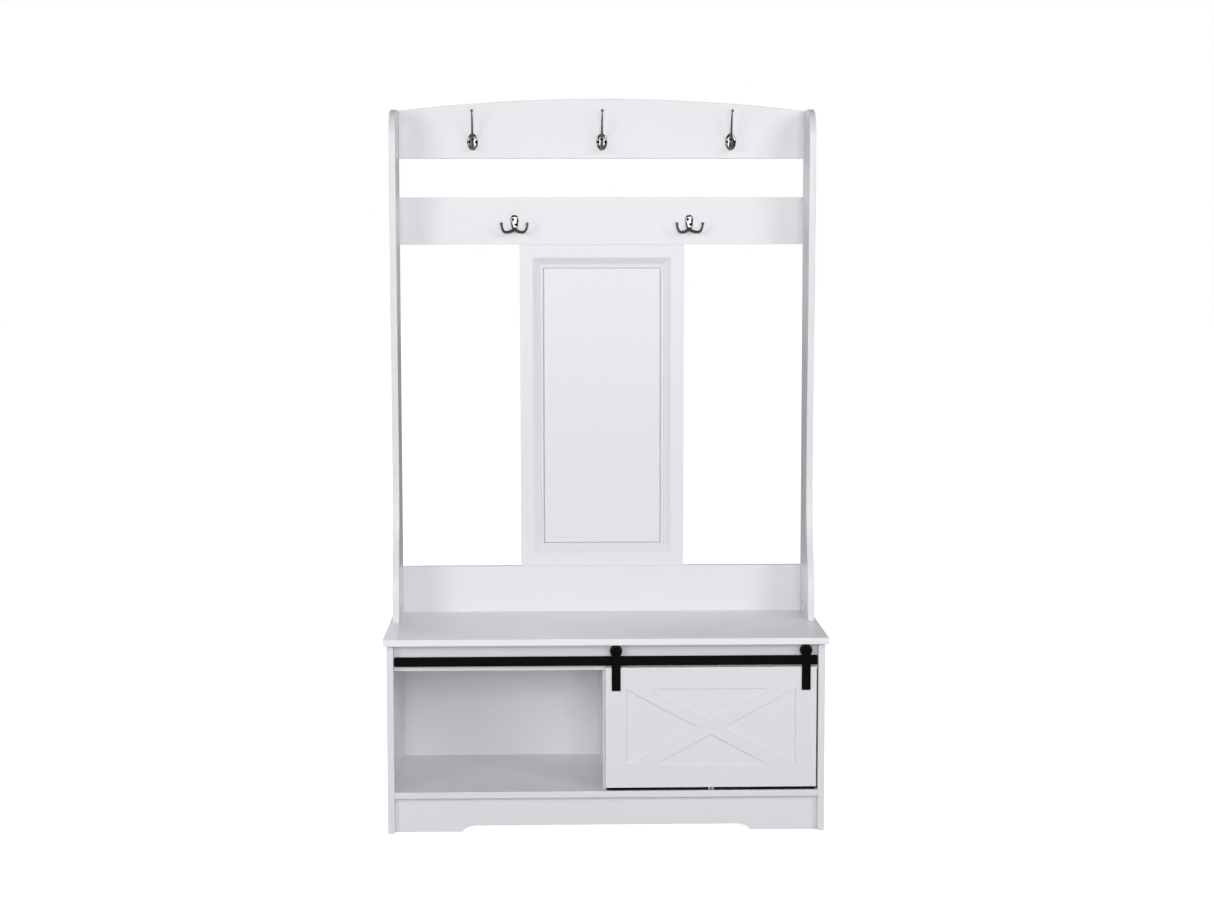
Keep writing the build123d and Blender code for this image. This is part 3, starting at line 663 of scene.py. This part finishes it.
# ---- Divider screws and panel nails ----
# Two long countersunk screws come up through the shelf into the divider, and six short flat-headed nails hold
# the back panel. All are bright zinc.
screw_boxes = loose_boxes("divider_screws")
long_screw_length = (screw_boxes[0][1] - screw_boxes[0][0]).z
long_screw_shank, long_screw_head, long_screw_point = 2.2 * MM, 4.4 * MM, 3 * MM
long_screw = turned("long_screw", [
    (0, -long_screw_length),
    *thread(-long_screw_length + long_screw_point, -20 * MM, core=1.7 * MM, crest=2.5 * MM, pitch=2.2 * MM),
    (long_screw_shank, -19 * MM),
    (long_screw_shank, -2.4 * MM),
    (long_screw_head, -0.25 * MM),
    (long_screw_head, 0),
    (0, 0),
], 20)
cut_away(long_screw, cross_tool(width=1.1 * MM, length=4.8 * MM, deep=2.4 * MM, top=0))
smooth_shade(long_screw, 40)
heads = []
for low, high in screw_boxes:
    heads.append((Vector(((low.x + high.x) / 2, (low.y + high.y) / 2, low.z)), (0, 0, -1)))
long_screws = spread(long_screw, "divider_screws_finished", heads)
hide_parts("divider_screws")
dress(long_screws, zinc, "frame")
nail_ease = 0.3 * MM
dress(eased_copy("panel_nails", nail_ease, 0), zinc, "frame")

# ---- Track ----
# A flat steel bar with rounded corners, its spacers and its countersunk bolts, all in fine black powder coat.
# The bolts go through the spacers into the header, and their hexagon sockets are almost lost in the black.
def powder_coat(name, tone, gloss):
    """Matt black powder coat with a fine leathery skin and a few rubbed spots."""
    paint, wire = new_shader(name)
    place = wire.node("ShaderNodeTexCoord", None, None, "Object")
    peel = wire.node("ShaderNodeTexNoise", None, {
        "Vector": place,
        "Scale": 950.0,
        "Detail": 3.0,
        "Roughness": 0.55,
    })
    rub = wire.node("ShaderNodeTexNoise", None, {
        "Vector": place,
        "Scale": 55.0,
        "Detail": 6.0,
        "Roughness": 0.7,
    })
    worn = wire.node("ShaderNodeValToRGB", {"stops": ((0.58, (0, 0, 0)), (0.78, (1, 1, 1)))}, {0: rub})
    wear_gain, peel_share, rub_share, polish = 2.2, 0.14, 0.1, 0.12
    lighter = tuple(v * wear_gain for v in tone)
    close_shader(wire, wire.node("ShaderNodeBsdfPrincipled", None, {
        "Base Color": wire.node("ShaderNodeMix", {"data_type": "RGBA"}, {
            0: worn,
            6: (*tone, 1),
            7: (*lighter, 1),
        }, 2),
        "Roughness": peel * peel_share + rub * rub_share + (gloss - polish),
        "Normal": wire.node("ShaderNodeBump", None, {"Strength": 0.35, "Distance": 0.00006, "Height": peel}),
        "Specular IOR Level": 0.05,
    }))
    return paint


black_coat = powder_coat("black_powder_coat", (0.0024, 0.0024, 0.003), gloss=0.48)
track_ease, track_shortest, spacer_ease = 0.5 * MM, 0.3 * MM, 0.3 * MM
dress(eased_copy("door_track", track_ease, track_shortest), black_coat, "frame")
dress(eased_copy("track_spacers", spacer_ease, 0), black_coat, "frame")


def hexagon_tool(across, deep, top):
    """A cutter for a hexagon socket, open at a height `top`."""
    bpy.ops.object.select_all(action="DESELECT")
    corner = across / math.sqrt(3)
    bpy.ops.mesh.primitive_cylinder_add(vertices=6, radius=corner, depth=deep * 2, location=(0, 0, top))
    tool = bpy.context.object
    bpy.ops.object.transform_apply(location=True, rotation=True, scale=True)
    return tool


track_bolt_boxes = loose_boxes("track_bolts")
track_bolt_length = (track_bolt_boxes[0][1] - track_bolt_boxes[0][0]).y
track_bolt_shank, track_bolt_tip, track_bolt_head = 2.45 * MM, 1.7 * MM, 4.9 * MM
track_bolt = turned("track_bolt", [
    (0, -track_bolt_length),
    (track_bolt_tip, -track_bolt_length),
    *thread(-track_bolt_length + 0.5 * MM, -15 * MM, core=2.0 * MM, crest=2.5 * MM, pitch=0.9 * MM),
    (track_bolt_shank, -14.5 * MM),
    (track_bolt_shank, -2.55 * MM),
    (track_bolt_head, -0.1 * MM),
    (4.8 * MM, 0),
    (0, 0),
], 28)
cut_away(track_bolt, hexagon_tool(across=3.0 * MM, deep=1.9 * MM, top=0))
smooth_shade(track_bolt, 35)
heads = []
for low, high in track_bolt_boxes:
    heads.append((Vector(((low.x + high.x) / 2, low.y, (low.z + high.z) / 2)), (0, -1, 0)))
track_bolts = spread(track_bolt, "track_bolts_finished", heads)
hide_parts("track_bolts")
dress(track_bolts, black_coat, "frame")

# ---- Rollers ----
# Moulded black nylon wheels with a groove that runs on the track's top edge, a web sunk on both faces and a
# hub round the axle. They turn freely on the axle bolts.
nylon, wire = new_shader("black_nylon")
place = wire.node("ShaderNodeTexCoord", None, None, "Object")
flow = wire.node("ShaderNodeTexNoise", None, {"Vector": place, "Scale": 320.0, "Detail": 4.0})
fine = wire.node("ShaderNodeTexNoise", None, {"Vector": place, "Scale": 2400.0, "Detail": 2.0})
close_shader(wire, wire.node("ShaderNodeBsdfPrincipled", None, {
    "Base Color": wire.node("ShaderNodeMix", {"data_type": "RGBA"}, {
        0: flow,
        6: (0.0025, 0.0025, 0.003, 1),
        7: (0.005, 0.005, 0.0058, 1),
    }, 2),
    "Roughness": flow * 0.12 + 0.36,
    "Normal": wire.node("ShaderNodeBump", None, {"Strength": 0.2, "Distance": 0.00004, "Height": fine}),
    "Specular IOR Level": 0.3,
}))
hub_to_web = [(3.06, 4.5), (5.6, 4.5), (6.0, 4.1), (6.3, 3.3), (11.2, 3.3), (11.6, 4.1), (12.0, 4.5)]
rim_to_groove = [(13.3, 4.5), (13.85, 4.1), (14.0, 3.7), (13.9, 3.3), (11.4, 2.8), (11.0, 2.4)]
half_wheel = hub_to_web + rim_to_groove
wheel_outline = half_wheel + [(radius, -height) for radius, height in reversed(half_wheel)] + half_wheel[:1]
for side in ("left", "right"):
    wheel = turned("wheel", [(radius * MM, height * MM) for radius, height in wheel_outline], 64)
    smooth_shade(wheel, 35)
    low, high = (Vector(corner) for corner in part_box("roller_" + side))
    wheel = spread(wheel, f"roller_{side}_finished", [((low + high) / 2, (0, -1, 0))])
    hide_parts("roller_" + side)
    dress(wheel, nylon, "roller_" + side)

# ---- Hanger straps, axle bolts and nuts ----
# Two flat steel straps hang the door from the rollers. A button-headed bolt is the axle of each, with a nut
# behind the wheel, and two dome-headed screws hold the strap to the door.
strap_ease, strap_shortest = 0.45 * MM, 0.3 * MM
nut_ease, nut_shortest = 0.35 * MM, 1.5 * MM
axle_radius, axle_tip, button_radius, button_tall = 3.0 * MM, 2.4 * MM, 5.5 * MM, 2.5 * MM
for side in ("left", "right"):
    strap = eased_copy("hanger_strap_" + side, strap_ease, strap_shortest)
    dress(strap, black_coat, "door")
    dress(eased_copy("axle_nut_" + side, nut_ease, nut_shortest), black_coat, "door")
    low, high = (Vector(corner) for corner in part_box("axle_bolt_" + side))
    axle_end = -(high.y - low.y) + button_tall
    axle = turned("axle", [
        (0, axle_end),
        (axle_tip, axle_end),
        *thread(axle_end + 0.5 * MM, axle_end + 5.5 * MM, core=2.5 * MM, crest=2.98 * MM, pitch=0.9 * MM),
        (axle_radius, axle_end + 6 * MM),
        (axle_radius, 0),
        (button_radius, 0),
        (button_radius, 0.7 * MM),
        (5.1 * MM, 1.5 * MM),
        (4.2 * MM, 2.1 * MM),
        (3.0 * MM, 2.45 * MM),
        (0, button_tall),
    ], 32)
    cut_away(axle, hexagon_tool(across=3.4 * MM, deep=1.6 * MM, top=button_tall))
    smooth_shade(axle, 35)
    centre = Vector(((low.x + high.x) / 2, low.y + button_tall, (low.z + high.z) / 2))
    axle = spread(axle, f"axle_bolt_{side}_finished", [(centre, (0, -1, 0))])
    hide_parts("axle_bolt_" + side)
    dress(axle, black_coat, "door")


def dome_screws(node, name):
    """Dome-headed wood screws with a cross recess, in the place of each screw of a made group."""
    head_radius, head_tall, shank_radius, point_tall = 3.3 * MM, 1.6 * MM, 1.6 * MM, 2.5 * MM
    boxes = loose_boxes(node)
    made = []
    for length in sorted({round((high - low).y, 5) for low, high in boxes}):
        bite = -(length - head_tall)
        screw = turned("screw", [
            (0, bite),
            *thread(bite + point_tall, -1.2 * MM, core=1.15 * MM, crest=1.68 * MM, pitch=1.1 * MM),
            (shank_radius, -0.8 * MM),
            (shank_radius, 0),
            (head_radius, 0),
            (head_radius, 0.3 * MM),
            (3.05 * MM, 0.8 * MM),
            (2.4 * MM, 1.25 * MM),
            (1.3 * MM, 1.53 * MM),
            (0, head_tall),
        ], 28)
        cut_away(screw, cross_tool(width=0.8 * MM, length=3.4 * MM, deep=1.1 * MM, top=head_tall))
        smooth_shade(screw, 35)
        heads = []
        for low, high in boxes:
            if round((high - low).y, 5) == length:
                middle = Vector(((low.x + high.x) / 2, low.y + head_tall, (low.z + high.z) / 2))
                heads.append((middle, (0, -1, 0)))
        made.append(spread(screw, name, heads))
    bpy.ops.object.select_all(action="DESELECT")
    for part in made:
        part.select_set(True)
    bpy.context.view_layer.objects.active = made[0]
    if len(made) > 1:
        bpy.ops.object.join()
    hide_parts(node)
    return made[0]


dress(dome_screws("strap_screws", "strap_screws_finished"), black_coat, "door")

# ---- Door glide ----
# A small milky nylon foot with two legs, pressed under the middle of the door. It keeps the door from
# swinging out as it slides.
glide_ease, glide_shortest = 0.4 * MM, 0.5 * MM
milky, wire = new_shader("milky_nylon")
place = wire.node("ShaderNodeTexCoord", None, None, "Object")
haze = wire.node("ShaderNodeTexNoise", None, {"Vector": place, "Scale": 420.0, "Detail": 3.0})
close_shader(wire, wire.node("ShaderNodeBsdfPrincipled", None, {
    "Base Color": wire.node("ShaderNodeMix", {"data_type": "RGBA"}, {
        0: haze,
        6: (0.62, 0.63, 0.64, 1),
        7: (0.78, 0.79, 0.8, 1),
    }, 2),
    "Roughness": haze * 0.1 + 0.28,
    "Transmission Weight": 0.25,
    "IOR": 1.5,
}))
dress(eased_copy("door_glide", glide_ease, glide_shortest), milky, "door")

# ---- Painted shade under the door ----
# A black strip under the door's front edge, in one length on each side of the glide. It is painted shade:
# it stands in for the shadow in the gap between the door and the floor of the cabinet.
shade_strip_thick, shade_strip_tall, shade_strip_end, shade_strip_setback = 3 * MM, 5.6 * MM, 2 * MM, 0.8 * MM
shade_strip_gap, shade_strip_ease = 0.4 * MM, 0.5 * MM
# Near-black colour of the strip: painted shade for the gap under the door.
gap_shade_black, wire = new_shader("gap_shade_black")
place = wire.node("ShaderNodeTexCoord", None, None, "Object")
shade_stretch = wire.node("ShaderNodeMapping", None, {"Vector": place, "Scale": (1.0, 1.0, 0.06)})
shade_noise = wire.node("ShaderNodeTexNoise", None, {"Vector": shade_stretch, "Scale": 1500.0, "Detail": 3.0})
close_shader(wire, wire.node("ShaderNodeBsdfPrincipled", None, {
    "Base Color": wire.node("ShaderNodeMix", {"data_type": "RGBA"}, {
        0: shade_noise,
        6: (0.002, 0.002, 0.002, 1),
        7: (0.007, 0.007, 0.008, 1),
    }, 2),
    "Roughness": shade_noise * 0.15 + 0.8,
    "Specular IOR Level": 0.1,
    "Normal": wire.node("ShaderNodeBump", None, {"Strength": 0.6, "Distance": 0.0002, "Height": shade_noise}),
}))
door_low, door_high = (Vector(corner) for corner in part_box("door_panel"))
glide_low, glide_high = (Vector(corner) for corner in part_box("door_glide"))
lengths = (
    ("door_gap_shade_left", door_low.x + shade_strip_end, glide_low.x - shade_strip_gap),
    ("door_gap_shade_right", glide_high.x + shade_strip_gap, door_high.x - shade_strip_end),
)
for name, start, end in lengths:
    bpy.ops.object.select_all(action="DESELECT")
    bpy.ops.mesh.primitive_cube_add(size=1)
    shade_strip = bpy.context.object
    shade_strip.name = name
    shade_strip.scale = (end - start, shade_strip_thick, shade_strip_tall)
    shade_strip.location = (
        (start + end) / 2,
        door_low.y + shade_strip_setback + shade_strip_thick / 2,
        door_low.z - shade_strip_tall / 2,
    )
    bpy.ops.object.transform_apply(location=True, rotation=True, scale=True)
    bpy.ops.object.mode_set(mode="EDIT")
    bpy.ops.mesh.select_all(action="SELECT")
    bpy.ops.mesh.bevel(offset=shade_strip_ease, segments=2)
    bpy.ops.object.mode_set(mode="OBJECT")
    smooth_shade(shade_strip)
    dress(shade_strip, gap_shade_black, "door")


# ---- Coat hooks ----
# Cast and nickel-plated: an oval plate domed towards the middle, a long thin upper prong and a short lower
# one, each with a small ball at its end. Casting and polish leave every join soft.
def prong(route, radii):
    """A tapered round bar along a smooth line through the room, from its five control points."""
    bpy.ops.object.select_all(action="DESELECT")
    bpy.ops.curve.primitive_nurbs_path_add(radius=MM)
    bar = bpy.context.object
    line = bar.data.splines[0]
    for point, place, radius in zip(line.points, route, radii):
        point.co = (*place, 1)
        point.radius = radius / MM
    line.order_u = 4
    line.use_endpoint_u = True
    line.resolution_u = 10
    bar.data.bevel_depth = MM
    bar.data.bevel_resolution = 6
    bar.data.use_fill_caps = True
    bpy.ops.object.convert(target="MESH")
    return bpy.context.object


def ball(point, radius):
    """The round end of a prong."""
    bpy.ops.object.select_all(action="DESELECT")
    bpy.ops.mesh.primitive_uv_sphere_add(segments=32, ring_count=20, radius=radius, location=point)
    return bpy.context.object


def cast(parts, name, voxel, softening):
    """Joins overlapping parts into one skin with soft joins, as a casting has."""
    bpy.ops.object.select_all(action="DESELECT")
    for part in parts:
        part.select_set(True)
    bpy.context.view_layer.objects.active = parts[0]
    bpy.ops.object.join()
    piece = bpy.context.object
    piece.name = name
    bpy.ops.object.transform_apply(location=True, rotation=True, scale=True)
    skin = piece.modifiers.new("skin", "REMESH")
    skin.mode, skin.voxel_size = "VOXEL", voxel
    bpy.ops.object.modifier_apply(modifier=skin.name)
    soft = piece.modifiers.new("soft", "SMOOTH")
    soft.factor, soft.iterations = 0.5, softening
    bpy.ops.object.modifier_apply(modifier=soft.name)
    bpy.ops.object.shade_smooth()
    return piece


nickel_low, nickel_high = (0.16, 0.156, 0.149), (0.23, 0.225, 0.214)
nickel = metal("polished_nickel", nickel_low, nickel_high, gloss=0.14, scratch=0.1, speckle_scale=120.0)
plate_thick, plate_edge, half_wide, half_tall = 3.5 * MM, 2 * MM, 12.5 * MM, 20 * MM
plate_dome = ((0.8, 0.7), (1.6, 0.6), (2.6, 0.5), (3.2, 0.3))
bore_radius, bore_length, bore_place = 1.9 * MM, 12 * MM, 8.5 * MM
grain, softening = 0.5 * MM, 4
upper = [(0, 0, 6), (0, -19, 7), (0, -31, 40), (0, -36, 62), (0, -52, 70)]
lower = [(0, 0, -7), (0, -11, -15), (0, -21, -18.5), (0, -31, -15), (0, -31, -2)]
upper_radii, upper_ball = (3.6, 2.7, 2.2, 1.9, 1.5), 3.5
lower_radii, lower_ball = (3.8, 3.4, 3.0, 2.7, 2.5), 3.8
low, high = (Vector(corner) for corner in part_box("coat_hook_centre"))
hook_middle = Vector(((low.x + high.x) / 2, high.y, low.z + half_tall))
bpy.ops.object.select_all(action="DESELECT")
bpy.ops.mesh.primitive_cylinder_add(vertices=64, radius=1, depth=plate_edge, location=(0, 0, plate_edge / 2))
plate = bpy.context.object
plate.scale = (half_wide, half_tall, 1)
bpy.ops.object.transform_apply(location=True, rotation=True, scale=True)
select_faces(plate, lambda middle, normal: normal.z > square_on)
for inward, upward in plate_dome:
    bpy.ops.mesh.inset(thickness=inward * MM, depth=upward * MM)
bpy.ops.object.mode_set(mode="OBJECT")
for s in (-1, 1):
    bpy.ops.object.select_all(action="DESELECT")
    bpy.ops.mesh.primitive_cylinder_add(
        vertices=24,
        radius=bore_radius,
        depth=bore_length,
        location=(s * bore_place, 0, 0),
    )
    cut_away(plate, bpy.context.object)
plate = spread(plate, "plate", [(hook_middle, (0, -1, 0))])
face = hook_middle + Vector((0, -plate_thick + plate_edge, 0))
parts = [plate]
for route, radii, end in ((upper, upper_radii, upper_ball), (lower, lower_radii, lower_ball)):
    points = [face + Vector(point) * MM for point in route]
    parts.append(prong(points, [radius * MM for radius in radii]))
    parts.append(ball(points[-1], end * MM))
coat_hook = cast(parts, "coat_hook", grain, softening)
for side in ("left", "centre", "right"):
    low, high = (Vector(corner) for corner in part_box("coat_hook_" + side))
    bpy.ops.object.select_all(action="DESELECT")
    coat_hook.select_set(True)
    bpy.context.view_layer.objects.active = coat_hook
    bpy.ops.object.duplicate()
    hook = bpy.context.object
    hook.location = ((low.x + high.x) / 2 - hook_middle.x, 0, 0)
    bpy.ops.object.transform_apply(location=True, rotation=True, scale=True)
    hook.name = f"coat_hook_{side}_finished"
    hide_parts("coat_hook_" + side)
    dress(hook, nickel, "frame")
bpy.data.objects.remove(coat_hook)

# ---- Double hooks ----
# Cast nickel again: a plate that tapers downwards from a rounded top, and two prongs that part from its foot,
# swing out sideways and forward, and turn up to a ball.
swing = math.radians(42)
half_width, width_taper, taper_rate, half_height = 8.6, 2.4, 1.4, 20
squareness, flatness = 0.75, 0.85
plate_dome = ((0.8, 0.8), (1.2, 0.6), (1.6, 0.5), (1.2, 0.2))
root_place = (0, -2.8, -13)
prong_route = [(0, 0), (9, -6.5), (24, -8.5), (38, -7), (41, 12)]
prong_radii, prong_ball = (4.4, 4.0, 3.7, 3.1, 2.5), 3.8
bore_length, bore_places = 14 * MM, ((-3.5, 9.5), (3.0, -2.5))
for side in ("left", "right"):
    low, high = (Vector(corner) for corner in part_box("double_hook_" + side))
    middle = Vector(((low.x + high.x) / 2, high.y, high.z - half_height * MM))
    bpy.ops.object.select_all(action="DESELECT")
    bpy.ops.mesh.primitive_cylinder_add(
        vertices=48,
        radius=1,
        depth=plate_edge,
        location=(0, 0, plate_edge / 2),
    )
    plate = bpy.context.object
    for corner in plate.data.vertices:
        across, up = corner.co.x, corner.co.y
        width = half_width + width_taper * max(-1.0, min(1.0, up * taper_rate))
        corner.co.x = math.copysign(abs(across) ** squareness, across) * width * MM
        corner.co.y = math.copysign(abs(up) ** flatness, up) * half_height * MM
    select_faces(plate, lambda centre, normal: normal.z > square_on)
    for inward, upward in plate_dome:
        bpy.ops.mesh.inset(thickness=inward * MM, depth=upward * MM)
    bpy.ops.object.mode_set(mode="OBJECT")
    bpy.ops.object.transform_apply(location=True, rotation=True, scale=True)
    parts = [spread(plate, "plate", [(middle, (0, -1, 0))])]
    for s in (-1, 1):
        sideways = Vector((s * math.cos(swing), -math.sin(swing), 0))
        root = middle + Vector(root_place) * MM
        points = [root + (sideways * out + Vector((0, 0, up))) * MM for out, up in prong_route]
        parts.append(prong(points, [radius * MM for radius in prong_radii]))
        parts.append(ball(points[-1], prong_ball * MM))
    hook = cast(parts, f"double_hook_{side}_finished", grain, softening)
    for dx, dz in bore_places:
        bpy.ops.object.select_all(action="DESELECT")
        bpy.ops.mesh.primitive_cylinder_add(vertices=24, radius=bore_radius, depth=bore_length)
        bore = bpy.context.object
        bore.rotation_euler = (math.radians(90), 0, 0)
        bore.location = middle + Vector((dx, 0, dz)) * MM
        cut_away(hook, bore)
    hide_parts("double_hook_" + side)
    dress(hook, nickel, "frame")

# ---- Hook screws ----
# Dome-headed wood screws, two to a hook, blackened so that they stand out on the nickel.
blackened_low, blackened_high = (0.004, 0.004, 0.0042), (0.008, 0.008, 0.008)
blackened = metal("blackened_steel", blackened_low, blackened_high, gloss=0.5, scratch=0.3)
dress(dome_screws("hook_screws", "hook_screws_finished"), blackened, "frame")
